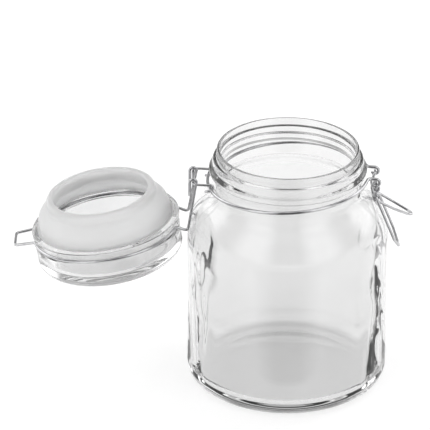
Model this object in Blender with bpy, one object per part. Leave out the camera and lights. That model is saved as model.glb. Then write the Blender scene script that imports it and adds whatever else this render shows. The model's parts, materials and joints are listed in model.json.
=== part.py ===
"""Lidded glass canister with a wire swing clamp, standing open.

A round glass jar with a stepped neck, a wire ring round the neck, a hinge
bracket with the lid's wire hanging from it on -X, and a two-part wire latch on +X.
The glass lid lies open beside the jar, upside down, with its silicone gasket up.

Frame: metres, +Z up, origin at the centre of the jar's flat base.
The lid is drawn closed and its parent empty turns it open about the hinge.
"""
import math

import bmesh
import bpy
from mathutils import Vector

# ---- driving dimensions (metres, radians) ------------------------------------
JAR_HEIGHT = 0.152
BODY_RADIUS = 0.0613
BODY_WALL = 0.004
BASE_THICKNESS = 0.006
HEEL_RADIUS = 0.009
FLOOR_ROUND = 0.008
RIM_OUTER = 0.0428
LIP_ROUND = 0.0009
MOUTH_RADIUS = 0.0410
MOUTH_ROUND = 0.0007

# radius and depth below the rim: two steps and the recess that takes the neck ring
NECK_OUTLINE = [(0.0428, 0.0046), (0.0432, 0.0054), (0.0449, 0.0062), (0.0453, 0.0082),
                (0.0453, 0.0102), (0.0462, 0.0112), (0.0473, 0.0120), (0.0473, 0.0146),
                (0.0450, 0.0160), (0.0450, 0.0240)]
SHOULDER_OUTLINE = [(0.0461, 0.0262), (0.0487, 0.0293), (0.0524, 0.0340), (0.0553, 0.0385),
                    (0.0577, 0.0431), (0.0596, 0.0482), (0.0608, 0.0540), (BODY_RADIUS, 0.0605)]
INNER_OUTLINE = [(BODY_RADIUS - BODY_WALL, 0.0630), (0.0564, 0.0556), (0.0548, 0.0492),
                 (0.0525, 0.0436), (0.0491, 0.0382), (0.0450, 0.0332), (0.0422, 0.0286),
                 (0.0410, 0.0236), (0.0406, 0.0130)]

NECK_WIRE = 0.0020
LID_WIRE = 0.0018
BRACKET_WIRE = 0.0016
LATCH_WIRE = 0.0017
PIVOT_EYE = 0.0022
LATCH_EYE = 0.00195

RING_RADIUS = 0.0483
RING_DROP = 0.0192
RING_TILT = math.radians(3.0)
RING_ELBOW = 0.0004
RING_BEND = 0.0025

HINGE_X = -0.0569
HINGE_DROP = 0.0193
BRACKET_HALF_WIDTH = 0.0110
BRACKET_PLAY = 0.00025
BRACKET_BEND = 0.0016
BRACKET_TAIL = 0.0030
BRACKET_TAIL_DIP = 0.0004
HOOK_HALF_SPACING = 0.0080
HOOK_RADIUS = 0.00205
HOOK_END = (0.0034, 0.0086)
LEG_BEND_REACH = 0.0076
LEG_BEND_LIFT = 0.0038
LEG_BEND = 0.0022
CATCH_BEND = 0.0020
LID_TRAVEL = math.radians(188.5)

LID_RING_RADIUS = 0.0446
LID_RING_LIFT = 0.0062
LEG_HALF_SPACING = 0.0128
LEG_ROOT_HALF_WIDTH = 0.0132
CATCH_HALF_WIDTH = 0.0093
CATCH_END_HALF_WIDTH = 0.0079
CATCH_REACH = 0.0560
CATCH_RISE = math.radians(3.0)

LIP_RADIUS = 0.0450
LIP_UNDERSIDE = 0.0014
LID_RADIUS = 0.0444
LID_TOP = 0.0254
LID_WELL_RADIUS = 0.0374
LID_PLATE = 0.0045
LID_WELL_ROUND = 0.0050
LID_WELL_TAPER = 0.0008
LID_CORNER = 0.0058
LIP_EDGE = 0.0009
LIP_UPPER = 0.0021
GROOVE_RADIUS = 0.0433
GROOVE_HALF_HEIGHT = 0.0009

GASKET_GAP = 0.00035
GASKET_EDGE_RADIUS = 0.0418
GASKET_SWING = 0.0250
COLLAR_RADIUS = 0.0325
COLLAR_BORE = 0.0288
COLLAR_DEPTH = 0.0168
COLLAR_STEP_DEPTH = 0.0116
GASKET_PLAY = 0.0003
FLANK_START = 0.0002
FLANK_STEPS = 5
COLLAR_ROUND = 0.0013
BORE_EDGE = 0.0007
BORE_FLARE = [(0.0322, 0.0072), (0.0356, 0.0030)]

LEVER_X = 0.0526
LEVER_DROP = 0.0193
LINK_X = 0.0532
LINK_DROP = 0.0300
ARM_Y = 0.0082
CRANK_Y = 0.0042
CRANK_BOW = (0.0503, -0.0242)
HANDLE_Y = 0.0064
LINK_Y = 0.0088
KNEE = (0.0643, -0.0388)
KNEE_Y = 0.0048
HANDLE_TIP = (0.0748, -0.0443)
LINK_LENGTH = 0.0385
LINK_TAPER = 0.0085
LINK_ANGLE = math.radians(-68.0)
PIN_STUB = 0.0010
PIN_INSET = 0.0009
TIP_HALF_WIDTH = 0.0006
TIP_SHOULDER = 0.0010
CRANK_BEND = 0.0011
HANDLE_SHOULDER = (0.0018, 0.0025, 0.0009)
HANDLE_BEND = 0.0060
LINK_SHOULDER_Y = 0.0022
LINK_BEND = 0.0022

JAR_SEGMENTS = 60
LID_SEGMENTS = 52
WIRE_BEVEL = 1

RIM_Z = JAR_HEIGHT
HINGE = Vector((HINGE_X, 0.0, RIM_Z - HINGE_DROP))
LEVER_PIVOT = Vector((LEVER_X, 0.0, RIM_Z - LEVER_DROP))
LINK_PIVOT = Vector((LINK_X, 0.0, RIM_Z - LINK_DROP))


# ---- helpers -------------------------------------------------------------------
def clear_scene():
    for thing in list(bpy.data.objects):
        bpy.data.objects.remove(thing, do_unlink=True)


def finish_of(name, colour, roughness, metallic):
    material = bpy.data.materials.new(name)
    material.use_nodes = True
    shader = material.node_tree.nodes["Principled BSDF"]
    shader.inputs["Base Color"].default_value = (*colour, 1.0)
    shader.inputs["Roughness"].default_value = roughness
    shader.inputs["Metallic"].default_value = metallic
    return material


def arc(centre, radius, start, end, steps):
    """Points on an arc in a plane, angles in degrees, both ends included."""
    points = []
    for i in range(steps + 1):
        angle = math.radians(start + (end - start) * i / steps)
        points.append((centre[0] + radius * math.cos(angle),
                       centre[1] + radius * math.sin(angle)))
    return points


def turned(name, profile, segments, material, offset=Vector((0.0, 0.0, 0.0))):
    """Spin a profile of (radius, height) points round Z into one closed body."""
    mesh = bmesh.new()
    verts = [mesh.verts.new((radius, 0.0, height)) for radius, height in profile]
    edges = [mesh.edges.new(pair) for pair in zip(verts, verts[1:])]
    if profile[0][0] > 0.0:
        edges.append(mesh.edges.new((verts[-1], verts[0])))
    bmesh.ops.spin(mesh, geom=verts + edges, cent=(0.0, 0.0, 0.0), axis=(0.0, 0.0, 1.0),
                   angle=math.tau, steps=segments, use_merge=True)
    bmesh.ops.remove_doubles(mesh, verts=mesh.verts, dist=0.00001)
    bmesh.ops.recalc_face_normals(mesh, faces=mesh.faces)
    bmesh.ops.translate(mesh, verts=mesh.verts, vec=offset)
    data = bpy.data.meshes.new(name)
    mesh.to_mesh(data)
    mesh.free()
    data.shade_smooth()
    data.set_sharp_from_angle(angle=math.radians(40.0))
    data.materials.append(material)
    thing = bpy.data.objects.new(name, data)
    bpy.context.scene.collection.objects.link(thing)
    return thing


def filleted(points, radius, steps=4):
    """Round each inner corner of a path with an arc of about the given radius."""
    route = [points[0]]
    for before, corner, after in zip(points, points[1:], points[2:]):
        back = before - corner
        ahead = after - corner
        bend = math.pi - back.angle(ahead)
        if bend < math.radians(6.0):
            route.append(corner)
            continue
        reach = radius * math.tan(bend / 2.0)
        reach = min(reach, 0.48 * back.length, 0.48 * ahead.length)
        start = corner + back.normalized() * reach
        end = corner + ahead.normalized() * reach
        for i in range(steps + 1):
            t = i / steps
            route.append(start * (1 - t) ** 2 + corner * 2 * t * (1 - t) + end * t ** 2)
    route.append(points[-1])
    return route


def wire(name, route, diameter, material, offset=Vector((0.0, 0.0, 0.0))):
    """One round wire bent along a route, with closed ends."""
    curve = bpy.data.curves.new(name, "CURVE")
    curve.dimensions = "3D"
    curve.bevel_depth = diameter / 2.0
    curve.bevel_resolution = WIRE_BEVEL
    curve.use_fill_caps = True
    curve.render_resolution_u = 0
    spline = curve.splines.new("POLY")
    spline.points.add(len(route) - 1)
    for point, place in zip(spline.points, route):
        point.co = (*(place + offset), 1.0)
    curve.materials.append(material)
    thing = bpy.data.objects.new(name, curve)
    bpy.context.scene.collection.objects.link(thing)
    return thing


def ring_arc(radius, height, start, end, steps, slope=0.0):
    """Points of a horizontal ring between two angles in degrees; it may tilt about Y."""
    return [Vector((x, y, height + x * slope))
            for x, y in arc((0.0, 0.0), radius, start, end, steps)]


def eye(pivot, y_start, y_end, radius, start, sweep, steps):
    """A turn of wire round a pivot that runs along Y, stepping sideways as it turns."""
    points = []
    for i, (x, z) in enumerate(arc((pivot.x, pivot.z), radius, start, start + sweep, steps)):
        points.append(Vector((x, y_start + (y_end - y_start) * i / steps, z)))
    return points


def other_side(route):
    """The same route mirrored across the XZ plane and walked backwards."""
    return [Vector((point.x, -point.y, point.z)) for point in reversed(route)]


def hinge_empty(name, place, turn):
    empty = bpy.data.objects.new(name, None)
    empty.location = place
    empty.rotation_euler = (0.0, turn, 0.0)
    bpy.context.scene.collection.objects.link(empty)
    return empty


# ---- jar -----------------------------------------------------------------------
def below_rim(outline):
    """Points given as radius and depth below the rim, as radius and height."""
    return [(radius, RIM_Z - depth) for radius, depth in outline]


def jar_outside():
    """Outer side of the jar from the rim down to the base, then in to the axis."""
    lip = arc((RIM_OUTER - LIP_ROUND, RIM_Z - LIP_ROUND), LIP_ROUND, 90, 0, 3)
    heel = arc((BODY_RADIUS - HEEL_RADIUS, HEEL_RADIUS), HEEL_RADIUS, 0, -90, 6)
    return lip + below_rim(NECK_OUTLINE + SHOULDER_OUTLINE) + heel + [(0.0, 0.0)]


def jar_inside():
    """Inner side of the jar from the axis on the floor up to the mouth."""
    wall = BODY_RADIUS - BODY_WALL
    centre = (wall - FLOOR_ROUND, BASE_THICKNESS + FLOOR_ROUND)
    floor = [(0.0, BASE_THICKNESS)] + arc(centre, FLOOR_ROUND, -90, 0, 5)
    mouth = arc((MOUTH_RADIUS + MOUTH_ROUND, RIM_Z - MOUTH_ROUND), MOUTH_ROUND, 180, 100, 3)
    return floor + below_rim(INNER_OUTLINE) + mouth


def make_jar(glass):
    return turned("glass_jar", jar_inside() + jar_outside(), JAR_SEGMENTS, glass)


# ---- neck ring and hinge bracket -------------------------------------------------
def ring_height():
    return RIM_Z - RING_DROP


def ring_slope():
    return math.tan(RING_TILT)


def make_neck_ring(steel):
    """A wire round the neck whose two ends run out on +X and curl round the lever's pin."""
    edge = math.degrees(math.asin(ARM_Y / RING_RADIUS))
    pivot = LEVER_PIVOT
    curl = eye(pivot, -ARM_Y, -ARM_Y, PIVOT_EYE, -150.0, 240.0, 9)
    around = ring_arc(RING_RADIUS, ring_height(), -edge, -180.0, 24, ring_slope())
    first = around[0]
    elbow = Vector((first.x + RING_ELBOW, -ARM_Y, first.z))
    near = curl[:-1] + filleted([curl[-1], elbow, around[1]], RING_BEND)[:-1] + around[1:]
    route = near + other_side(near)[1:]
    return wire("neck_ring", route, NECK_WIRE, steel)


def make_hinge_bracket(steel):
    """Two arms wrapped round the neck ring, joined by the bar that the lid hangs on."""
    half = BRACKET_HALF_WIDTH
    centre_x = -math.sqrt(RING_RADIUS ** 2 - half ** 2)
    centre = Vector((centre_x, 0.0, ring_height() + centre_x * ring_slope()))
    radius = NECK_WIRE / 2.0 + BRACKET_WIRE / 2.0 + BRACKET_PLAY
    wrap = eye(centre, -half, -half, radius, -95.0, 205.0, 9)
    tail = Vector((centre.x - BRACKET_TAIL, -half, centre.z - radius - BRACKET_TAIL_DIP))
    corner = Vector((HINGE.x, -half, HINGE.z))
    near = [tail] + wrap + filleted([wrap[-1], corner, HINGE], BRACKET_BEND)[1:]
    route = near + other_side(near)[1:]
    return wire("hinge_bracket", route, BRACKET_WIRE, steel)


# ---- lid -------------------------------------------------------------------------
def lid_section():
    """Glass lid's section, closed pose, heights from the rim: well, plate, side, lip."""
    well_top = LID_TOP - LID_PLATE
    points = [(0.0, well_top)]
    well_centre = (LID_WELL_RADIUS - LID_WELL_TAPER - LID_WELL_ROUND, well_top - LID_WELL_ROUND)
    inner = arc(well_centre, LID_WELL_ROUND, 90, 0, 4)
    inner.append((LID_WELL_RADIUS, LIP_UNDERSIDE))
    lip_top = LID_RING_LIFT - LIP_UPPER
    outer = [(LIP_RADIUS - LIP_EDGE, LIP_UNDERSIDE), (LIP_RADIUS, LIP_UNDERSIDE + LIP_EDGE),
             (LIP_RADIUS, lip_top), (LIP_RADIUS - LIP_EDGE, lip_top + LIP_EDGE),
             (GROOVE_RADIUS, LID_RING_LIFT - GROOVE_HALF_HEIGHT),
             (GROOVE_RADIUS, LID_RING_LIFT + GROOVE_HALF_HEIGHT),
             (LID_RADIUS, LID_RING_LIFT + 2.0 * GROOVE_HALF_HEIGHT)]
    outer += arc((LID_RADIUS - LID_CORNER, LID_TOP - LID_CORNER), LID_CORNER, 0, 90, 5)
    points += inner + outer
    points.append((0.0, LID_TOP))
    points.reverse()
    return points


def make_glass_lid(glass, hinge):
    offset = Vector((-HINGE.x, 0.0, RIM_Z - HINGE.z))
    lid = turned("glass_lid", lid_section(), LID_SEGMENTS, glass, offset)
    lid.parent = hinge
    return lid


def flank_radius(depth):
    """Radius of the gasket's flank: an arc about the hinge, so it swings out of the mouth."""
    rise = HINGE_DROP - depth
    return -HINGE_X - math.sqrt(GASKET_SWING ** 2 - rise ** 2)


def gasket_section():
    """Silicone gasket: thin edge flange, flank narrowing to a short collar, open bore."""
    top = LIP_UNDERSIDE - GASKET_PLAY
    outer = [(GASKET_EDGE_RADIUS, top), (GASKET_EDGE_RADIUS, GASKET_GAP)]
    for i in range(FLANK_STEPS + 1):
        depth = FLANK_START + (COLLAR_STEP_DEPTH - FLANK_START) * i / FLANK_STEPS
        outer.append((flank_radius(depth), -depth))
    outer.append((COLLAR_RADIUS, -COLLAR_STEP_DEPTH - 0.5 * BORE_EDGE))
    centre = (COLLAR_RADIUS - COLLAR_ROUND, -COLLAR_DEPTH + COLLAR_ROUND)
    outer += arc(centre, COLLAR_ROUND, 0, -90, 3)
    inner = [(COLLAR_BORE + BORE_EDGE, -COLLAR_DEPTH), (COLLAR_BORE, -COLLAR_DEPTH + BORE_EDGE),
             (COLLAR_BORE, -COLLAR_STEP_DEPTH + BORE_EDGE)]
    inner += [(radius, -depth) for radius, depth in BORE_FLARE]
    seat = LID_WELL_RADIUS + FLANK_START
    inner += [(seat, GASKET_GAP), (seat, top)]
    return outer + inner


def make_lid_gasket(silicone, hinge):
    offset = Vector((-HINGE.x, 0.0, RIM_Z - HINGE.z))
    gasket = turned("lid_gasket", gasket_section(), LID_SEGMENTS, silicone, offset)
    gasket.parent = hinge
    return gasket


def lid_wire_half():
    """Near half of the lid's wire, closed pose: hook, leg, half ring, half catch."""
    level = RIM_Z + LID_RING_LIFT
    free_end = HINGE + Vector((HOOK_END[0], -HOOK_HALF_SPACING, HOOK_END[1]))
    hook = eye(HINGE, -HOOK_HALF_SPACING, -HOOK_HALF_SPACING, HOOK_RADIUS, -7.0, -166.0, 7)
    bend = Vector((HINGE.x + LEG_BEND_REACH, -LEG_HALF_SPACING, level + LEG_BEND_LIFT))
    leg_angle = math.degrees(math.asin(LEG_ROOT_HALF_WIDTH / LID_RING_RADIUS))
    catch_angle = math.degrees(math.asin(CATCH_HALF_WIDTH / LID_RING_RADIUS))
    around = ring_arc(LID_RING_RADIUS, level, 180.0 + leg_angle, 360.0 - catch_angle, 26)
    leg = filleted([hook[-1], bend, around[0], around[1]], LEG_BEND)[1:-1]
    rise = (CATCH_REACH - around[-1].x) * math.tan(CATCH_RISE)
    corner = Vector((CATCH_REACH, -CATCH_END_HALF_WIDTH, level + rise))
    middle = Vector((CATCH_REACH, 0.0, level + rise))
    catch = filleted([around[-2], around[-1], corner, middle], CATCH_BEND)[1:]
    return [free_end] + hook + leg + around[1:-1] + catch


def make_lid_wire(steel, hinge):
    near = lid_wire_half()
    route = near + other_side(near)[1:]
    bail = wire("lid_wire", route, LID_WIRE, steel, -HINGE)
    bail.parent = hinge
    return bail


# ---- latch -------------------------------------------------------------------------
def make_latch_lever(steel, pivot):
    """Crank from the pin on the neck ring down to the link's eye, then the finger handle."""
    pin_end = Vector((LEVER_PIVOT.x, -(ARM_Y + PIN_STUB), LEVER_PIVOT.z))
    pin_root = Vector((LEVER_PIVOT.x, -CRANK_Y, LEVER_PIVOT.z))
    bow = Vector((CRANK_BOW[0], -CRANK_Y, RIM_Z + CRANK_BOW[1]))
    handle_slope = math.degrees(math.atan2(KNEE[1] + LINK_DROP, KNEE[0] - LINK_X))
    turn = eye(LINK_PIVOT, -CRANK_Y, -HANDLE_Y, LATCH_EYE, 180.0, 450.0 + handle_slope, 18)
    knee = Vector((KNEE[0], -KNEE_Y, RIM_Z + KNEE[1]))
    tip = Vector((HANDLE_TIP[0], 0.0, RIM_Z + HANDLE_TIP[1]))
    back, half_width, rise = HANDLE_SHOULDER
    shoulder = tip + Vector((-back, -half_width, rise))
    nose = tip + Vector((0.0, -TIP_HALF_WIDTH, 0.0))
    near = filleted([pin_end, pin_root, bow, turn[0]], CRANK_BEND)[:-1] + turn[:-1]
    near += filleted([turn[-1], knee, shoulder, nose], HANDLE_BEND)
    route = near + other_side(near)
    lever = wire("latch_lever", route, LATCH_WIRE, steel, -LEVER_PIVOT)
    lever.parent = pivot
    return lever


def make_latch_link(steel, pivot):
    """Long loop hung in the lever's eyes, with a tapered end that takes the catch."""
    along = Vector((math.cos(LINK_ANGLE), 0.0, math.sin(LINK_ANGLE)))
    pin_end = LINK_PIVOT + Vector((0.0, -(CRANK_Y - PIN_INSET), 0.0))
    root = LINK_PIVOT + Vector((0.0, -LINK_Y, 0.0))
    waist = LINK_PIVOT + along * (LINK_LENGTH - LINK_TAPER) + Vector((0.0, -LINK_Y, 0.0))
    shoulder = LINK_PIVOT + along * (LINK_LENGTH - TIP_SHOULDER) + Vector((0.0, -LINK_SHOULDER_Y, 0.0))
    nose = LINK_PIVOT + along * LINK_LENGTH + Vector((0.0, -TIP_HALF_WIDTH, 0.0))
    near = filleted([pin_end, root, waist, shoulder, nose], LINK_BEND)
    route = near + other_side(near)
    link = wire("latch_link", route, LATCH_WIRE, steel, -LINK_PIVOT)
    link.parent = pivot
    return link


# ---- assembly ----------------------------------------------------------------------
def build():
    clear_scene()
    glass = finish_of("clear_glass", (0.92, 0.95, 0.94), 0.03, 0.0)
    silicone = finish_of("milky_silicone", (0.88, 0.88, 0.87), 0.45, 0.0)
    steel = finish_of("bright_steel_wire", (0.72, 0.72, 0.73), 0.15, 1.0)
    make_jar(glass)
    make_neck_ring(steel)
    make_hinge_bracket(steel)
    lid_hinge = hinge_empty("lid_hinge_axis", HINGE, -LID_TRAVEL)
    make_glass_lid(glass, lid_hinge)
    make_lid_gasket(silicone, lid_hinge)
    make_lid_wire(steel, lid_hinge)
    make_latch_lever(steel, hinge_empty("lever_axis", LEVER_PIVOT, 0.0))
    make_latch_link(steel, hinge_empty("link_axis", LINK_PIVOT, 0.0))
    bpy.context.view_layer.update()


build()
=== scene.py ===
import json
import math

import bpy
import numpy as np
from mathutils import Matrix, Vector


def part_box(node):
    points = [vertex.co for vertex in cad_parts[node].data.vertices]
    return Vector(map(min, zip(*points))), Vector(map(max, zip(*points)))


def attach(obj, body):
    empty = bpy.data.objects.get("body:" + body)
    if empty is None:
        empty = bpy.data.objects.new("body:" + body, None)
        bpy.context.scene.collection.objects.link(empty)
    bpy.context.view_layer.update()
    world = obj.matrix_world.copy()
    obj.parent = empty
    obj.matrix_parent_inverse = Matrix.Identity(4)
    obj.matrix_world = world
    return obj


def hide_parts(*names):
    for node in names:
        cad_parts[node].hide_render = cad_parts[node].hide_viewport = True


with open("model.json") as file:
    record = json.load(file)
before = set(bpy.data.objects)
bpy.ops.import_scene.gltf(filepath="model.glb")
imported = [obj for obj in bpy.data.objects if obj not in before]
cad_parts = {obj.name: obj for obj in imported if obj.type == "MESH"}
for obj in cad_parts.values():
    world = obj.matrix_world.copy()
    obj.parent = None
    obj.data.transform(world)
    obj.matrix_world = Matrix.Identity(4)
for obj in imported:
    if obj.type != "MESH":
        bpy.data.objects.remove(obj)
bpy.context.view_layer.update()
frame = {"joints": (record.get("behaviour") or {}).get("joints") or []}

# ---- places taken from the frame -------------------------------------------------------
JOINTS = {joint["name"]: joint for joint in frame["joints"]}
HINGE = Vector(JOINTS["lid_hinge"]["pos_m"])
LEVER_PIVOT = Vector(JOINTS["lever_pivot"]["pos_m"])
LINK_PIVOT = Vector(JOINTS["link_pivot"]["pos_m"])
LID_TRAVEL = math.radians(JOINTS["lid_hinge"]["range_deg"][1])
RIM_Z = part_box("glass_jar")[1].z
BODY_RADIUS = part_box("glass_jar")[1].x
LID_TURN = Matrix.Translation(HINGE) @ Matrix.Rotation(-LID_TRAVEL, 4, "Y")

# ---- the design's own dimensions, in metres --------------------------------------------
BODY_WALL = 0.004
BASE_THICKNESS = 0.006
HEEL_RADIUS = 0.009
FLOOR_ROUND = 0.008
PUNT_RADIUS = 0.044
PUNT_RISE = 0.0016
RIM_OUTER = 0.0428
LIP_ROUND = 0.0009
MOUTH_RADIUS = 0.0410
MOUTH_ROUND = 0.0007

# radius and depth below the rim: neck with two beads, shoulder, and the inner side
NECK_OUTLINE = [(RIM_OUTER, 0.0030), (RIM_OUTER + 0.0001, 0.0046), (0.0434, 0.0055),
                (0.0449, 0.0064), (0.0454, 0.0082), (0.0453, 0.0100), (0.0461, 0.0112),
                (0.0473, 0.0123), (0.0474, 0.0134), (0.0472, 0.0146), (0.0460, 0.0156),
                (0.0450, 0.0168), (0.0450, 0.0200), (0.0450, 0.0238)]
SHOULDER_OUTLINE = [(0.0461, 0.0262), (0.0487, 0.0293), (0.0524, 0.0340), (0.0553, 0.0385),
                    (0.0577, 0.0431), (0.0596, 0.0482), (0.0608, 0.0540), (BODY_RADIUS, 0.0605),
                    (BODY_RADIUS, 0.0680)]
INNER_OUTLINE = [(BODY_RADIUS - BODY_WALL, 0.0690), (BODY_RADIUS - BODY_WALL, 0.0630),
                 (0.0564, 0.0556), (0.0548, 0.0492), (0.0525, 0.0436), (0.0491, 0.0382),
                 (0.0450, 0.0332), (0.0422, 0.0286), (0.0410, 0.0236), (0.0406, 0.0180),
                 (0.0406, 0.0130), (0.0408, 0.0060), (MOUTH_RADIUS, 0.0010)]

NECK_WIRE = 0.0020
LID_WIRE = 0.0018
BRACKET_WIRE = 0.0016
LATCH_WIRE = 0.0017
PIVOT_EYE = 0.0022
LATCH_EYE = 0.00195

RING_RADIUS = 0.0483
RING_DROP = 0.0192
RING_SLOPE = math.tan(math.radians(3.0))
RING_ELBOW = 0.0004
RING_BEND = 0.0025

BRACKET_HALF_WIDTH = 0.0110
BRACKET_PLAY = 0.00025
BRACKET_BEND = 0.0016
BRACKET_TAIL = 0.0030
BRACKET_TAIL_DIP = 0.0004
HOOK_HALF_SPACING = 0.0080
HOOK_RADIUS = 0.00205

# lid wire: the hook's free end from the hinge, along X and up, then the leg's bend
HOOK_END = (0.0034, 0.0086)
LEG_BEND_REACH = 0.0076
LEG_BEND_LIFT = 0.0038
LEG_BEND = 0.0022
CATCH_BEND = 0.0020

LID_RING_RADIUS = 0.0446
LID_RING_LIFT = 0.0062
LEG_HALF_SPACING = 0.0128
LEG_ROOT_HALF_WIDTH = 0.0132
CATCH_HALF_WIDTH = 0.0093
CATCH_END_HALF_WIDTH = 0.0079
CATCH_REACH = 0.0560
CATCH_RISE = math.radians(3.0)

LIP_RADIUS = 0.0450
LIP_UNDERSIDE = 0.0014
LID_RADIUS = 0.0444
LID_TOP = 0.0254
LID_WELL_RADIUS = 0.0374
LID_PLATE = 0.0045
LID_WELL_ROUND = 0.0050
LID_WELL_TAPER = 0.0008
LID_CORNER = 0.0058
LIP_EDGE = 0.0008
LIP_UPPER = 0.0021
GROOVE_RADIUS = 0.0013
SIDE_LIFT = 0.0020

GASKET_GAP = 0.00035
GASKET_EDGE_RADIUS = 0.0418
GASKET_WALL_RADIUS = 0.0402
COLLAR_RADIUS = 0.0333
COLLAR_BORE = 0.0286
COLLAR_DEPTH = 0.0178
COLLAR_ROLL = 0.0020
COLLAR_INNER_ROLL = 0.0014
GASKET_PLAY = 0.0003
SOFT_EDGE = 0.0002

# flank: how far inside the wall radius, and depth below the rim
FLANK_START = 0.0006
FLANK_OUTLINE = [(0.0, 0.0004), (0.0001, 0.0034), (0.0004, 0.0056), (0.0014, 0.0080),
                 (0.0032, 0.0102), (0.0050, 0.0117)]

# collar and bore: radius, and depth below the rim
COLLAR_OUTLINE = [(COLLAR_RADIUS + 0.0005, 0.0126), (COLLAR_RADIUS, 0.0138)]
BORE_OUTLINE = [(COLLAR_BORE, 0.0150), (COLLAR_BORE, 0.0122), (0.0296, 0.0100),
                (0.0326, 0.0072), (0.0354, 0.0036), (LID_WELL_RADIUS - 0.0004, 0.0002)]

# latch: half widths are along Y, and points are X and height from the rim
ARM_Y = 0.0082
CRANK_Y = 0.0042
CRANK_BOW = (0.0503, -0.0242)
HANDLE_Y = 0.0064
LINK_Y = 0.0088
KNEE = (0.0643, -0.0388)
KNEE_Y = 0.0048
HANDLE_TIP = (0.0748, -0.0443)
LINK_LENGTH = 0.0385
LINK_TAPER = 0.0085
LINK_ANGLE = math.radians(-68.0)
PIN_STUB = 0.0010
PIN_INSET = 0.0009
TIP_HALF_WIDTH = 0.0006
TIP_SHOULDER = 0.0010
CRANK_BEND = 0.0011
HANDLE_BEND = 0.0060
LINK_SHOULDER_Y = 0.0022
LINK_BEND = 0.0022

# handle's shoulder: how far back from the tip, its half width, and how far above the tip
HANDLE_SHOULDER = (0.0018, 0.0025, 0.0009)

# ---- fineness of the meshes ------------------------------------------------------------
JAR_SEGMENTS = 400
LID_SEGMENTS = 256
FOOT_POINTS = 14
BEVEL_RESOLUTION = 5

# a radius up to this counts as on the axis
ON_AXIS = 1e-9

# spacing of extra points on straight runs: jar's wall, flat plates, lid's sides
WALL_STEP = 0.0014
PLATE_STEP = 0.004
SIDE_STEP = 0.002

# a corner that bends less than this stays as it is; a fillet takes up to this share of a leg
STRAIGHT_ENOUGH = math.radians(6.0)
FILLET_SHARE = 0.48

# points of a ring that are left out where a bend runs into it
RING_SKIP = 5
LEG_SKIP = 3
CATCH_SKIP = 4

# rounded wire end: distance from the end in wire diameters, and share of full thickness
WIRE_TIP = [(0.0, 0.55), (0.10, 0.82), (0.24, 0.97)]

# ---- hammered dents on the jar's two sides ---------------------------------------------
DENT_SEED = 23
DENTS_PER_SIDE = 36
DENT_SPREAD = 38.0
DENT_HEIGHTS = (0.014, 0.088)
DENT_HALF_WIDTHS = (0.0026, 0.0062)
DENT_STRETCH = (2.2, 5.0)
DENT_DEPTHS_MM = (0.40, 1.15)
MILLIMETRE = 0.001
DENT_LIMIT = 0.0016

# dents fade in from the lower shoulder down and from the foot up, and nothing nearer the axis
# than this share of the body's radius is dented
DENT_TOP_DEPTH = 0.042
DENT_TOP_FADE = 0.014
DENT_FOOT_FADE = 0.012
DENT_INNERMOST = 0.8

# the inner wall moves outward by this share of a dent
INNER_SHARE = 0.35


# ---- colours ---------------------------------------------------------------------------
JAR_TINT = (0.855, 0.855, 0.855)
LID_TINT = (0.800, 0.800, 0.802)
TINT_UNEVENNESS = 0.012
SILICONE_WHITES = ((0.980, 0.980, 0.980), (0.995, 0.995, 0.995))
STEEL_GREYS = ((0.46, 0.46, 0.47), (0.60, 0.60, 0.61))

# ---- table, light and camera -----------------------------------------------------------
FLOOR_RADIUS = 6.0
FLOOR_GAP = 0.0002

# dark runner: its sides meet at the apex, all three distances are from the jar's axis to the
# front, and the spread is half its width per unit of distance from the apex
SHADE_APEX = 0.045
SHADE_NEAR = 0.10
SHADE_FAR = 5.5
SHADE_SPREAD = 0.85
SHADE_FADE = [(0.00, 0.00), (0.35, 0.05), (1.00, 1.00)]

# brightness round the left half of the studio, from 0 behind the jar to 0.5 in front of it
LEFT_BOXES = [(0.00, 0.15), (0.08, 0.15), (0.11, 0.62), (0.21, 0.62), (0.24, 0.02),
              (0.29, 0.02), (0.35, 0.55), (0.41, 0.55), (0.46, 0.02)]

# by height, from 0.5 at the horizon to 1 overhead: share of the boxes' brightness, then the
# brightness of the light overhead and of the glow at the horizon
BOX_SHARE = [(0.50, 0.50), (0.58, 1.00), (0.86, 1.00), (0.92, 0.10)]
OVERHEAD_LIGHT = [(0.90, 0.00), (0.94, 0.32), (1.00, 0.32)]
HORIZON_GLOW = [(0.53, 0.33), (0.57, 0.00)]
STUDIO_LIGHT = 3.2

# the rim's centre stands this far to the right of the camera's axis and above it
RIM_OFF_AXIS = (0.0438, 0.0403)
CAMERA_DISTANCE = 2.0
CAMERA_ELEVATION = math.radians(27.3)
CAMERA_LENS = 280.0


# ---- outline and route helpers ---------------------------------------------------------
def arc(centre, radius, start, end, steps):
    """Points on an arc in a plane, angles in degrees, both ends included."""
    angles = np.radians(np.linspace(start, end, steps + 1))
    return [(centre[0] + radius * math.cos(a), centre[1] + radius * math.sin(a)) for a in angles]


def through(points, steps=6):
    """A smooth curve that passes through each point of an outline."""
    knots = [np.array(p) for p in points]
    knots = [2 * knots[0] - knots[1]] + knots + [2 * knots[-1] - knots[-2]]
    curve = []
    for a, b, c, d in zip(knots, knots[1:], knots[2:], knots[3:]):
        for t in np.arange(steps) / steps:
            curve.append(0.5 * (2 * b + (c - a) * t + (2 * a - 5 * b + 4 * c - d) * t ** 2
                                + (3 * b - a - 3 * c + d) * t ** 3))
    curve.append(knots[-2])
    return [tuple(p) for p in curve]


def even(points, spacing):
    """The same outline with extra points on its long straight runs."""
    dense = [points[0]]
    for a, b in zip(points, points[1:]):
        parts = max(1, round(math.dist(a, b) / spacing))
        for i in range(1, parts + 1):
            t = i / parts
            dense.append((a[0] + (b[0] - a[0]) * t, a[1] + (b[1] - a[1]) * t))
    return dense


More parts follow.
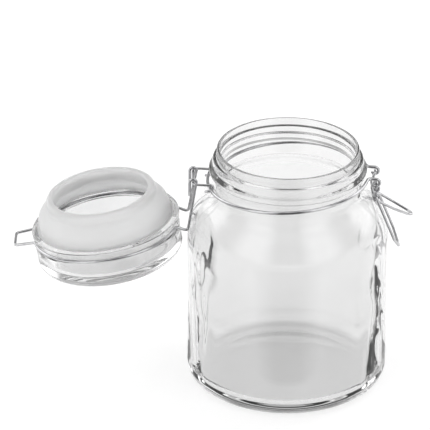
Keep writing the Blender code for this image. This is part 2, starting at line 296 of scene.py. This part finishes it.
def filleted(points, radius, steps=8):
    """Round each inner corner of a path with an arc of about the given radius."""
    route = [points[0]]
    for before, corner, after in zip(points, points[1:], points[2:]):
        back = before - corner
        ahead = after - corner
        bend = math.pi - back.angle(ahead)
        if bend < STRAIGHT_ENOUGH:
            route.append(corner)
            continue
        reach = min(radius * math.tan(bend / 2.0),
                    FILLET_SHARE * back.length, FILLET_SHARE * ahead.length)
        start = corner + back.normalized() * reach
        end = corner + ahead.normalized() * reach
        for i in range(steps + 1):
            t = i / steps
            route.append(start * (1 - t) ** 2 + corner * 2 * t * (1 - t) + end * t ** 2)
    route.append(points[-1])
    return route


def ring_arc(radius, height, start, end, steps, slope=0.0):
    """Points of a horizontal ring between two angles in degrees; it may tilt about Y."""
    return [Vector((x, y, height + x * slope))
            for x, y in arc((0.0, 0.0), radius, start, end, steps)]


def eye(pivot, y, y_end, radius, start, sweep, steps):
    """A turn of wire round a pivot that runs along Y, stepping sideways as it turns."""
    turns = arc((pivot.x, pivot.z), radius, start, start + sweep, steps)
    return [Vector((x, y + (y_end - y) * i / steps, z)) for i, (x, z) in enumerate(turns)]


def other_side(route):
    """The same route mirrored across the XZ plane and walked backwards."""
    return [Vector((point.x, -point.y, point.z)) for point in reversed(route)]


# ---- mesh and curve makers -------------------------------------------------------------
def add_object(name, data, material):
    data.materials.append(material)
    thing = bpy.data.objects.new(name, data)
    bpy.context.scene.collection.objects.link(thing)
    return thing


def lathe(name, outline, segments, material, shape=None):
    """Spin an outline round Z: closed on itself, or from one point on the axis to another."""
    rings = np.array([p for p in outline if p[0] > ON_AXIS])
    poles = [p for p in outline if p[0] <= ON_AXIS]
    angles = np.arange(segments) * math.tau / segments
    radii = np.repeat(rings[:, :1], segments, axis=1)
    heights = np.repeat(rings[:, 1:2], segments, axis=1)
    if shape:
        radii = shape(radii, heights, angles)
    verts = np.stack([radii * np.cos(angles), radii * np.sin(angles), heights], axis=-1)
    verts = [tuple(v) for v in verts.reshape(-1, 3)]
    verts += [(0.0, 0.0, height) for _, height in poles]
    count = len(rings)
    last_row = count - 1 if poles else count
    faces = []
    for row in range(last_row):
        here, there = row * segments, (row + 1) % count * segments
        for i in range(segments):
            j = (i + 1) % segments
            faces.append((there + i, there + j, here + j, here + i))
    if poles:
        first, second = count * segments, count * segments + 1
        end = (count - 1) * segments
        for i in range(segments):
            j = (i + 1) % segments
            faces.append((first, i, j))
            faces.append((second, end + j, end + i))
    data = bpy.data.meshes.new(name)
    data.from_pydata(verts, [], faces)
    data.shade_smooth()
    return add_object(name, data, material)


def wire(name, route, diameter, material):
    """One round wire along a route, its two ends rounded over."""
    curve = bpy.data.curves.new(name, "CURVE")
    curve.dimensions = "3D"
    curve.bevel_depth = diameter / 2.0
    curve.bevel_resolution = BEVEL_RESOLUTION
    curve.use_fill_caps = True
    curve.render_resolution_u = 0
    spline = curve.splines.new("POLY")
    head = (route[1] - route[0]).normalized() * diameter
    tail = (route[-2] - route[-1]).normalized() * diameter
    points = [(route[0] + head * along, size) for along, size in WIRE_TIP]
    points += [(point, 1.0) for point in route[1:-1]]
    points += [(route[-1] + tail * along, size) for along, size in reversed(WIRE_TIP)]
    spline.points.add(len(points) - 1)
    for knot, (point, size) in zip(spline.points, points):
        knot.co = (*point, 1.0)
        knot.radius = size
    return add_object(name, curve, material)


# ---- materials -------------------------------------------------------------------------
def new_material(name):
    material = bpy.data.materials.new(name)
    material.use_nodes = True
    nodes = material.node_tree.nodes
    return material, nodes, material.node_tree.links, nodes["Principled BSDF"]


def noise(nodes, links, scale, detail, stretch=(1.0, 1.0, 1.0)):
    """Noise in the object's own coordinates, which may be stretched along an axis."""
    place = nodes.new("ShaderNodeTexCoord")
    mapping = nodes.new("ShaderNodeMapping")
    mapping.inputs["Scale"].default_value = stretch
    texture = nodes.new("ShaderNodeTexNoise")
    texture.inputs["Scale"].default_value = scale
    texture.inputs["Detail"].default_value = detail
    links.new(place.outputs["Object"], mapping.inputs["Vector"])
    links.new(mapping.outputs["Vector"], texture.inputs["Vector"])
    return texture.outputs["Fac"]


def ramp(nodes, links, source, low, high, start=0.3, end=0.7):
    """Colours from low to high as the source goes from start to end."""
    node = nodes.new("ShaderNodeValToRGB")
    node.color_ramp.elements[0].position = start
    node.color_ramp.elements[1].position = end
    node.color_ramp.elements[0].color = (*low, 1.0)
    node.color_ramp.elements[1].color = (*high, 1.0)
    links.new(source, node.inputs["Fac"])
    return node.outputs["Color"]


def spread(nodes, links, source, low, high):
    """A number from low to high as the source goes from 0 to 1."""
    node = nodes.new("ShaderNodeMapRange")
    node.inputs["To Min"].default_value = low
    node.inputs["To Max"].default_value = high
    links.new(source, node.inputs["Value"])
    return node.outputs["Result"]


def bump(nodes, links, source, shader, strength, distance):
    node = nodes.new("ShaderNodeBump")
    node.inputs["Strength"].default_value = strength
    node.inputs["Distance"].default_value = distance
    links.new(source, node.inputs["Height"])
    links.new(node.outputs["Normal"], shader.inputs["Normal"])


def glass_material(name, tint, ripple):
    """Clear pressed glass: faint ripples and a tint that is barely uneven."""
    material, nodes, links, shader = new_material(name)
    shader.inputs["Transmission Weight"].default_value = 1.0
    shader.inputs["IOR"].default_value = 1.50
    cloud = noise(nodes, links, scale=22.0, detail=2.0)
    pale = tuple(min(1.0, c + TINT_UNEVENNESS) for c in tint)
    links.new(ramp(nodes, links, cloud, tint, pale), shader.inputs["Base Color"])
    links.new(spread(nodes, links, cloud, low=0.0, high=0.02), shader.inputs["Roughness"])
    waves = noise(nodes, links, scale=55.0, detail=1.0, stretch=(1.0, 1.0, 0.45))
    bump(nodes, links, waves, shader, ripple, distance=0.0006)
    return material


def silicone_material():
    """Milky, slightly cloudy silicone rubber with a fine matt skin."""
    material, nodes, links, shader = new_material("milky_silicone")
    shader.inputs["IOR"].default_value = 1.41
    shader.inputs["Transmission Weight"].default_value = 0.45
    shader.inputs["Subsurface Weight"].default_value = 0.60
    shader.inputs["Subsurface Radius"].default_value = (0.009, 0.009, 0.009)
    shader.inputs["Subsurface Scale"].default_value = 1.0
    cloud = noise(nodes, links, scale=60.0, detail=3.0)
    links.new(ramp(nodes, links, cloud, *SILICONE_WHITES), shader.inputs["Base Color"])
    links.new(spread(nodes, links, cloud, low=0.30, high=0.42), shader.inputs["Roughness"])
    grain = noise(nodes, links, scale=900.0, detail=2.0)
    bump(nodes, links, grain, shader, strength=0.12, distance=0.0002)
    return material


def steel_material():
    """Bright drawn steel wire with faint dull patches."""
    material, nodes, links, shader = new_material("bright_steel_wire")
    shader.inputs["Metallic"].default_value = 1.0
    patches = noise(nodes, links, scale=260.0, detail=3.0)
    links.new(ramp(nodes, links, patches, *STEEL_GREYS), shader.inputs["Base Color"])
    links.new(spread(nodes, links, patches, low=0.04, high=0.16), shader.inputs["Roughness"])
    scratches = noise(nodes, links, scale=1500.0, detail=2.0)
    bump(nodes, links, scratches, shader, strength=0.06, distance=0.0001)
    return material


# ---- jar -------------------------------------------------------------------------------
def below_rim(outline):
    """Points given as radius and depth below the rim, as radius and height."""
    return [(radius, RIM_Z - depth) for radius, depth in outline]


def jar_outside():
    """Outer side of the jar from the rim down to the base, then in to the axis."""
    lip = arc((RIM_OUTER - LIP_ROUND, RIM_Z - LIP_ROUND), LIP_ROUND, 90, 0, 8)
    neck = through([lip[-1]] + below_rim(NECK_OUTLINE + SHOULDER_OUTLINE), 5)
    heel = arc((BODY_RADIUS - HEEL_RADIUS, HEEL_RADIUS), HEEL_RADIUS, 0, -90, 16)
    foot = [(PUNT_RADIUS * math.cos(a), PUNT_RISE * math.sin(a) ** 2)
            for a in np.linspace(0.0, math.pi / 2.0, FOOT_POINTS)]
    return (lip[:-1] + neck + even([neck[-1], heel[0]], WALL_STEP)[1:-1]
            + heel + foot[:-1] + [(0.0, PUNT_RISE)])


def jar_inside():
    """Inner side of the jar from the axis on the floor up to the mouth."""
    wall = BODY_RADIUS - BODY_WALL
    floor = arc((wall - FLOOR_ROUND, BASE_THICKNESS + FLOOR_ROUND), FLOOR_ROUND, -90, 0, 12)
    shoulder = through(below_rim(INNER_OUTLINE), 5)
    mouth = arc((MOUTH_RADIUS + MOUTH_ROUND, RIM_Z - MOUTH_ROUND), MOUTH_ROUND, 180, 90, 8)
    bottom = even([(PLATE_STEP, BASE_THICKNESS), floor[0]], PLATE_STEP)
    return ([(0.0, BASE_THICKNESS)] + bottom[:-1] + floor
            + even([floor[-1], shoulder[0]], WALL_STEP)[1:-1] + shoulder[:-1] + mouth)


def dent_map(radii, heights, angles):
    """Shallow hammered dents on the jar's two sides: the outer wall goes in, the inner out."""
    draw = np.random.RandomState(DENT_SEED)
    turned = np.broadcast_to(angles, radii.shape)
    depth = np.zeros_like(radii)
    for side in (0.0, math.pi):
        for _ in range(DENTS_PER_SIDE):
            angle = side + math.radians(draw.uniform(-DENT_SPREAD, DENT_SPREAD))
            height = draw.uniform(*DENT_HEIGHTS)
            half_width = draw.uniform(*DENT_HALF_WIDTHS)
            half_height = half_width * draw.uniform(*DENT_STRETCH)
            deep = draw.uniform(*DENT_DEPTHS_MM) * MILLIMETRE
            across = (turned - angle + math.pi) % math.tau - math.pi
            reach = (across * BODY_RADIUS / half_width) ** 2
            reach = reach + ((heights - height) / half_height) ** 2
            depth += deep * np.exp(-reach)
    below_top = np.clip((RIM_Z - DENT_TOP_DEPTH - heights) / DENT_TOP_FADE, 0.0, 1.0)
    belly = below_top * np.clip(heights / DENT_FOOT_FADE, 0.0, 1.0)
    outer = radii > BODY_RADIUS - 0.5 * BODY_WALL
    near_wall = radii > DENT_INNERMOST * BODY_RADIUS
    share = np.where(outer, 1.0, -INNER_SHARE) * belly * near_wall
    return radii - np.minimum(depth, DENT_LIMIT) * share


def make_jar(glass):
    jar = lathe("jar_glass", jar_inside() + jar_outside(), JAR_SEGMENTS, glass, dent_map)
    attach(jar, "jar")
    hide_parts("glass_jar")


# ---- neck ring and hinge bracket -------------------------------------------------------
def make_neck_ring(steel):
    """A wire round the neck whose two ends run out on +X and curl round the lever's pin."""
    edge = math.degrees(math.asin(ARM_Y / RING_RADIUS))
    curl = eye(LEVER_PIVOT, -ARM_Y, -ARM_Y, PIVOT_EYE, start=-150.0, sweep=240.0, steps=24)
    around = ring_arc(RING_RADIUS, RIM_Z - RING_DROP, -edge, -180.0, steps=90, slope=RING_SLOPE)
    elbow = Vector((around[0].x + RING_ELBOW, -ARM_Y, around[0].z))
    turn_in = filleted([curl[-1], elbow, around[RING_SKIP]], RING_BEND)
    near = curl[:-1] + turn_in[:-1] + around[RING_SKIP:]
    ring = wire("neck_ring_wire", near + other_side(near)[1:], NECK_WIRE, steel)
    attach(ring, "jar")
    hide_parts("neck_ring")


def make_hinge_bracket(steel):
    """Two arms wrapped round the neck ring, joined by the bar that the lid hangs on."""
    half = BRACKET_HALF_WIDTH
    centre_x = -math.sqrt(RING_RADIUS ** 2 - half ** 2)
    centre = Vector((centre_x, 0.0, RIM_Z - RING_DROP + centre_x * RING_SLOPE))
    radius = NECK_WIRE / 2.0 + BRACKET_WIRE / 2.0 + BRACKET_PLAY
    wrap = eye(centre, -half, -half, radius, start=-95.0, sweep=205.0, steps=24)
    tail = Vector((centre.x - BRACKET_TAIL, -half, centre.z - radius - BRACKET_TAIL_DIP))
    corner = Vector((HINGE.x, -half, HINGE.z))
    near = [tail] + wrap + filleted([wrap[-1], corner, HINGE], BRACKET_BEND)[1:]
    bracket = wire("hinge_bracket_wire", near + other_side(near)[1:], BRACKET_WIRE, steel)
    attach(bracket, "jar")
    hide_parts("hinge_bracket")


# ---- lid -------------------------------------------------------------------------------
def lid_outline():
    """Glass lid's section, closed pose, heights from the rim: plate, side, lip, then the well."""
    well_top = LID_TOP - LID_PLATE
    well_centre = (LID_WELL_RADIUS - LID_WELL_TAPER - LID_WELL_ROUND, well_top - LID_WELL_ROUND)
    inner = arc(well_centre, LID_WELL_ROUND, 90, 0, 10)
    well_foot = LID_WELL_TAPER / 2.0
    well = even([inner[-1], (LID_WELL_RADIUS, LIP_UNDERSIDE + well_foot)], SIDE_STEP)[1:]
    lip_centre = LIP_RADIUS - LIP_EDGE
    lip = [(LID_WELL_RADIUS + well_foot, LIP_UNDERSIDE), (lip_centre, LIP_UNDERSIDE)]
    lip += arc((lip_centre, LIP_UNDERSIDE + LIP_EDGE), LIP_EDGE, -70, 0, 5)
    lip += arc((lip_centre, LID_RING_LIFT - LIP_UPPER), LIP_EDGE, 0, 90, 5)
    groove = arc((LID_RING_RADIUS, LID_RING_LIFT), GROOVE_RADIUS, -120, -240, 10)
    outer = arc((LID_RADIUS - LID_CORNER, LID_TOP - LID_CORNER), LID_CORNER, 0, 90, 12)
    side = even([(LID_RADIUS, LID_RING_LIFT + SIDE_LIFT), outer[0]], SIDE_STEP)
    plate = even([outer[-1], (PLATE_STEP, LID_TOP)], PLATE_STEP)[1:]
    well_plate = even([(PLATE_STEP, well_top), inner[0]], PLATE_STEP)[:-1]
    section = well_plate + inner + well + lip + groove + side + outer[1:] + plate
    return [(0.0, LID_TOP)] + section[::-1] + [(0.0, well_top)]


def to_hinge(outline):
    """Heights above the rim become heights above the hinge."""
    return [(radius, height + RIM_Z - HINGE.z) for radius, height in outline]


def lid_piece(thing):
    """A piece spun about the lid's own axis, turned open about the hinge."""
    shift = Matrix.Translation((-HINGE.x, 0.0, 0.0))
    thing.data.transform(LID_TURN @ shift)
    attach(thing, "lid")


def make_lid(glass):
    lid = lathe("lid_glass", to_hinge(lid_outline()), LID_SEGMENTS, glass)
    lid_piece(lid)
    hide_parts("glass_lid")


def gasket_outline():
    """Silicone gasket: edge flange, full flank, short collar with a rolled end, open bore."""
    top = LIP_UNDERSIDE - GASKET_PLAY
    wall = GASKET_WALL_RADIUS
    edge = [(GASKET_EDGE_RADIUS - SOFT_EDGE, top), (GASKET_EDGE_RADIUS, top - SOFT_EDGE),
            (GASKET_EDGE_RADIUS, GASKET_GAP + SOFT_EDGE), (GASKET_EDGE_RADIUS - SOFT_EDGE, GASKET_GAP)]
    points = [(wall + FLANK_START, GASKET_GAP)]
    points += [(wall - inset, -depth) for inset, depth in FLANK_OUTLINE]
    points += [(radius, -depth) for radius, depth in COLLAR_OUTLINE]
    flank = through(points, 6)
    outer_roll = (COLLAR_RADIUS - COLLAR_ROLL, -COLLAR_DEPTH + COLLAR_ROLL)
    inner_roll = (COLLAR_BORE + COLLAR_INNER_ROLL, -COLLAR_DEPTH + COLLAR_INNER_ROLL)
    end = arc(outer_roll, COLLAR_ROLL, 0, -90, 8)
    end += arc(inner_roll, COLLAR_INNER_ROLL, -90, -180, 6)
    bore = through([(radius, -depth) for radius, depth in BORE_OUTLINE], 5)
    seat = LID_WELL_RADIUS + SOFT_EDGE
    return edge + flank + end + bore + [(seat, GASKET_GAP), (seat, top)]


def make_gasket(silicone):
    gasket = lathe("gasket_silicone", to_hinge(gasket_outline()), LID_SEGMENTS, silicone)
    lid_piece(gasket)
    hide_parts("lid_gasket")


def make_lid_wire(steel):
    """Lid's wire: hooks on the hinge bar, legs, ring in the lid's groove, catch loop."""
    level = RIM_Z + LID_RING_LIFT
    free_end = Vector((HINGE.x + HOOK_END[0], -HOOK_HALF_SPACING, HINGE.z + HOOK_END[1]))
    hook = eye(HINGE, -HOOK_HALF_SPACING, -HOOK_HALF_SPACING, HOOK_RADIUS,
               start=-7.0, sweep=-166.0, steps=20)
    bend = Vector((HINGE.x + LEG_BEND_REACH, -LEG_HALF_SPACING, level + LEG_BEND_LIFT))
    leg_angle = math.degrees(math.asin(LEG_ROOT_HALF_WIDTH / LID_RING_RADIUS))
    catch_angle = math.degrees(math.asin(CATCH_HALF_WIDTH / LID_RING_RADIUS))
    around = ring_arc(LID_RING_RADIUS, level, 180.0 + leg_angle, 360.0 - catch_angle, steps=78)
    leg = filleted([hook[-1], bend, around[0], around[LEG_SKIP]], LEG_BEND)[1:-1]
    rise = (CATCH_REACH - around[-1].x) * math.tan(CATCH_RISE)
    corner = Vector((CATCH_REACH, -CATCH_END_HALF_WIDTH, level + rise))
    middle = Vector((CATCH_REACH, 0.0, level + rise))
    catch = filleted([around[-CATCH_SKIP], around[-1], corner, middle], CATCH_BEND)[1:]
    near = [free_end] + hook + leg + around[LEG_SKIP:-CATCH_SKIP] + catch
    to_open = LID_TURN @ Matrix.Translation(-HINGE)
    route = [to_open @ point for point in near + other_side(near)[1:]]
    bail = wire("lid_wire_bail", route, LID_WIRE, steel)
    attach(bail, "lid")
    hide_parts("lid_wire")


# ---- latch -----------------------------------------------------------------------------
def make_latch_lever(steel):
    """Crank from the pin on the neck ring down to the link's eye, then the finger handle."""
    pin_end = Vector((LEVER_PIVOT.x, -(ARM_Y + PIN_STUB), LEVER_PIVOT.z))
    pin_root = Vector((LEVER_PIVOT.x, -CRANK_Y, LEVER_PIVOT.z))
    bow = Vector((CRANK_BOW[0], -CRANK_Y, RIM_Z + CRANK_BOW[1]))
    link_drop = RIM_Z - LINK_PIVOT.z
    handle_slope = math.degrees(math.atan2(KNEE[1] + link_drop, KNEE[0] - LINK_PIVOT.x))
    turn = eye(LINK_PIVOT, -CRANK_Y, -HANDLE_Y, LATCH_EYE,
               start=180.0, sweep=450.0 + handle_slope, steps=48)
    knee = Vector((KNEE[0], -KNEE_Y, RIM_Z + KNEE[1]))
    back, half_width, rise = HANDLE_SHOULDER
    shoulder = Vector((HANDLE_TIP[0] - back, -half_width, RIM_Z + HANDLE_TIP[1] + rise))
    nose = Vector((HANDLE_TIP[0], -TIP_HALF_WIDTH, RIM_Z + HANDLE_TIP[1]))
    near = filleted([pin_end, pin_root, bow, turn[0]], CRANK_BEND)[:-1] + turn[:-1]
    near += filleted([turn[-1], knee, shoulder, nose], HANDLE_BEND)
    lever = wire("latch_lever_wire", near + other_side(near), LATCH_WIRE, steel)
    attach(lever, "lever")
    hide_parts("latch_lever")


def make_latch_link(steel):
    """Long loop hung in the lever's eyes, narrowing to the end that takes the catch."""
    along = Vector((math.cos(LINK_ANGLE), 0.0, math.sin(LINK_ANGLE)))
    pin_end = LINK_PIVOT + Vector((0.0, -(CRANK_Y - PIN_INSET), 0.0))
    root = LINK_PIVOT + Vector((0.0, -LINK_Y, 0.0))
    waist = LINK_PIVOT + along * (LINK_LENGTH - LINK_TAPER) + Vector((0.0, -LINK_Y, 0.0))
    shoulder = LINK_PIVOT + along * (LINK_LENGTH - TIP_SHOULDER) + Vector((0.0, -LINK_SHOULDER_Y, 0.0))
    nose = LINK_PIVOT + along * LINK_LENGTH + Vector((0.0, -TIP_HALF_WIDTH, 0.0))
    near = filleted([pin_end, root, waist, shoulder, nose], LINK_BEND)
    link = wire("latch_link_wire", near + other_side(near), LATCH_WIRE, steel)
    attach(link, "link")
    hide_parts("latch_link")


# ---- studio ----------------------------------------------------------------------------

def make_floor():
    """A plain white table, bright mostly by its own glow, like a light table."""
    data = bpy.data.meshes.new("floor")
    r, z = FLOOR_RADIUS, -FLOOR_GAP
    data.from_pydata([(-r, -r, z), (r, -r, z), (r, r, z), (-r, r, z)], [], [(0, 1, 2, 3)])
    material, _, _, shader = new_material("white_table")
    shader.inputs["Base Color"].default_value = (0.40, 0.40, 0.40, 1.0)
    shader.inputs["Roughness"].default_value = 1.0
    shader.inputs["Specular IOR Level"].default_value = 0.0
    shader.inputs["Emission Color"].default_value = (1.0, 1.0, 1.0, 1.0)
    shader.inputs["Emission Strength"].default_value = 0.72
    add_object("floor", data, material)


def math_node(nodes, links, operation, *sources):
    node = nodes.new("ShaderNodeMath")
    node.operation = operation
    for socket, source in zip(node.inputs, sources):
        if isinstance(source, (int, float)):
            socket.default_value = source
        else:
            links.new(source, socket)
    return node.outputs[0]


def level_ramp(nodes, links, source, stops):
    node = nodes.new("ShaderNodeValToRGB")
    elements = node.color_ramp.elements
    while len(elements) < len(stops):
        elements.new(0.5)
    for element, (position, value) in zip(elements, stops):
        element.position = position
        element.color = (value, value, value, 1.0)
    links.new(source, node.inputs["Fac"])
    return node.outputs["Color"]


def make_shade():
    """A dark runner on the table in front of the jar, its edges fading to the table's white.

    The camera doesn't see it: it only shows as a soft grey band in the glass and the wire.
    """
    wide = SHADE_SPREAD * (SHADE_FAR - SHADE_APEX)
    narrow = SHADE_SPREAD * (SHADE_NEAR - SHADE_APEX)
    corners = [(-wide, -SHADE_FAR, 0.0), (wide, -SHADE_FAR, 0.0),
               (narrow, -SHADE_NEAR, 0.0), (-narrow, -SHADE_NEAR, 0.0)]
    data = bpy.data.meshes.new("shade")
    data.from_pydata(corners, [], [(0, 1, 2, 3)])
    material, nodes, links, shader = new_material("dark_runner")
    place = nodes.new("ShaderNodeTexCoord")
    split = nodes.new("ShaderNodeSeparateXYZ")
    links.new(place.outputs["Object"], split.inputs[0])
    depth = math_node(nodes, links, "MULTIPLY_ADD", split.outputs["Y"], -1.0, -SHADE_APEX)
    slant = math_node(nodes, links, "DIVIDE", split.outputs["X"], depth)
    share = math_node(nodes, links, "DIVIDE", math_node(nodes, links, "ABSOLUTE", slant), SHADE_SPREAD)
    fade = level_ramp(nodes, links, share, SHADE_FADE)
    links.new(fade, shader.inputs["Emission Color"])
    shader.inputs["Emission Strength"].default_value = 1.0
    shader.inputs["Base Color"].default_value = (0.02, 0.02, 0.02, 1.0)
    shader.inputs["Roughness"].default_value = 1.0
    shade = add_object("shade", data, material)
    shade.visible_camera = False
    shade.visible_diffuse = False
    shade.visible_shadow = False


def make_world():
    """Soft studio: four tall light boxes with dark gaps, a light overhead, a horizon glow.

    The camera sees plain white in place of all of these.
    """
    world = bpy.data.worlds.new("studio")
    bpy.context.scene.world = world
    world.use_nodes = True
    nodes, links = world.node_tree.nodes, world.node_tree.links
    background = nodes["Background"]
    place = nodes.new("ShaderNodeTexCoord")
    split = nodes.new("ShaderNodeSeparateXYZ")
    links.new(place.outputs["Generated"], split.inputs[0])
    minus_y = math_node(nodes, links, "MULTIPLY", split.outputs["Y"], -1.0)
    turn = math_node(nodes, links, "ARCTAN2", split.outputs["X"], minus_y)
    around = math_node(nodes, links, "MULTIPLY_ADD", turn, 1.0 / math.tau, 0.5)
    height = math_node(nodes, links, "MULTIPLY_ADD", split.outputs["Z"], 0.5, 0.5)
    right_boxes = [(1.0 - position, value) for position, value in reversed(LEFT_BOXES)]
    boxes = level_ramp(nodes, links, around, LEFT_BOXES + right_boxes)
    stand = level_ramp(nodes, links, height, BOX_SHARE)
    overhead = level_ramp(nodes, links, height, OVERHEAD_LIGHT)
    horizon = level_ramp(nodes, links, height, HORIZON_GLOW)
    standing = math_node(nodes, links, "MULTIPLY", boxes, stand)
    above = math_node(nodes, links, "ADD", overhead, standing)
    level = math_node(nodes, links, "MAXIMUM", above, horizon)
    lit = math_node(nodes, links, "MULTIPLY", level, STUDIO_LIGHT)
    rays = nodes.new("ShaderNodeLightPath")
    seen = math_node(nodes, links, "MAXIMUM", lit, rays.outputs["Is Camera Ray"])
    links.new(seen, background.inputs["Color"])
    background.inputs["Strength"].default_value = 1.0


def make_camera():
    """The camera looks down at the jar from in front, the jar right of the middle."""
    e = CAMERA_ELEVATION
    forward = Vector((0.0, math.cos(e), -math.sin(e)))
    up = Vector((0.0, math.sin(e), math.cos(e)))
    right = Vector((1.0, 0.0, 0.0))
    rim = Vector((0.0, 0.0, RIM_Z))
    data = bpy.data.cameras.new("camera")
    data.lens = CAMERA_LENS
    data.sensor_width = 36.0
    data.clip_end = 50.0
    camera = bpy.data.objects.new("camera", data)
    bpy.context.scene.collection.objects.link(camera)
    offset = right * RIM_OFF_AXIS[0] + up * RIM_OFF_AXIS[1]
    camera.location = rim - forward * CAMERA_DISTANCE - offset
    camera.rotation_euler = (math.pi / 2.0 - e, 0.0, 0.0)
    bpy.context.scene.camera = camera


def set_picture():
    scene = bpy.context.scene
    scene.view_settings.view_transform = "Standard"
    scene.cycles.use_denoising = True
    scene.cycles.max_bounces = 24
    scene.cycles.transmission_bounces = 24
    scene.cycles.glossy_bounces = 10
    scene.cycles.sample_clamp_indirect = 8.0


def build():
    jar_glass = glass_material("clear_jar_glass", JAR_TINT, ripple=0.04)
    lid_glass = glass_material("clear_lid_glass", LID_TINT, ripple=0.06)
    silicone = silicone_material()
    steel = steel_material()
    make_jar(jar_glass)
    make_neck_ring(steel)
    make_hinge_bracket(steel)
    make_lid(lid_glass)
    make_gasket(silicone)
    make_lid_wire(steel)
    make_latch_lever(steel)
    make_latch_link(steel)
    make_floor()
    make_shade()
    make_world()
    make_camera()
    set_picture()


build()
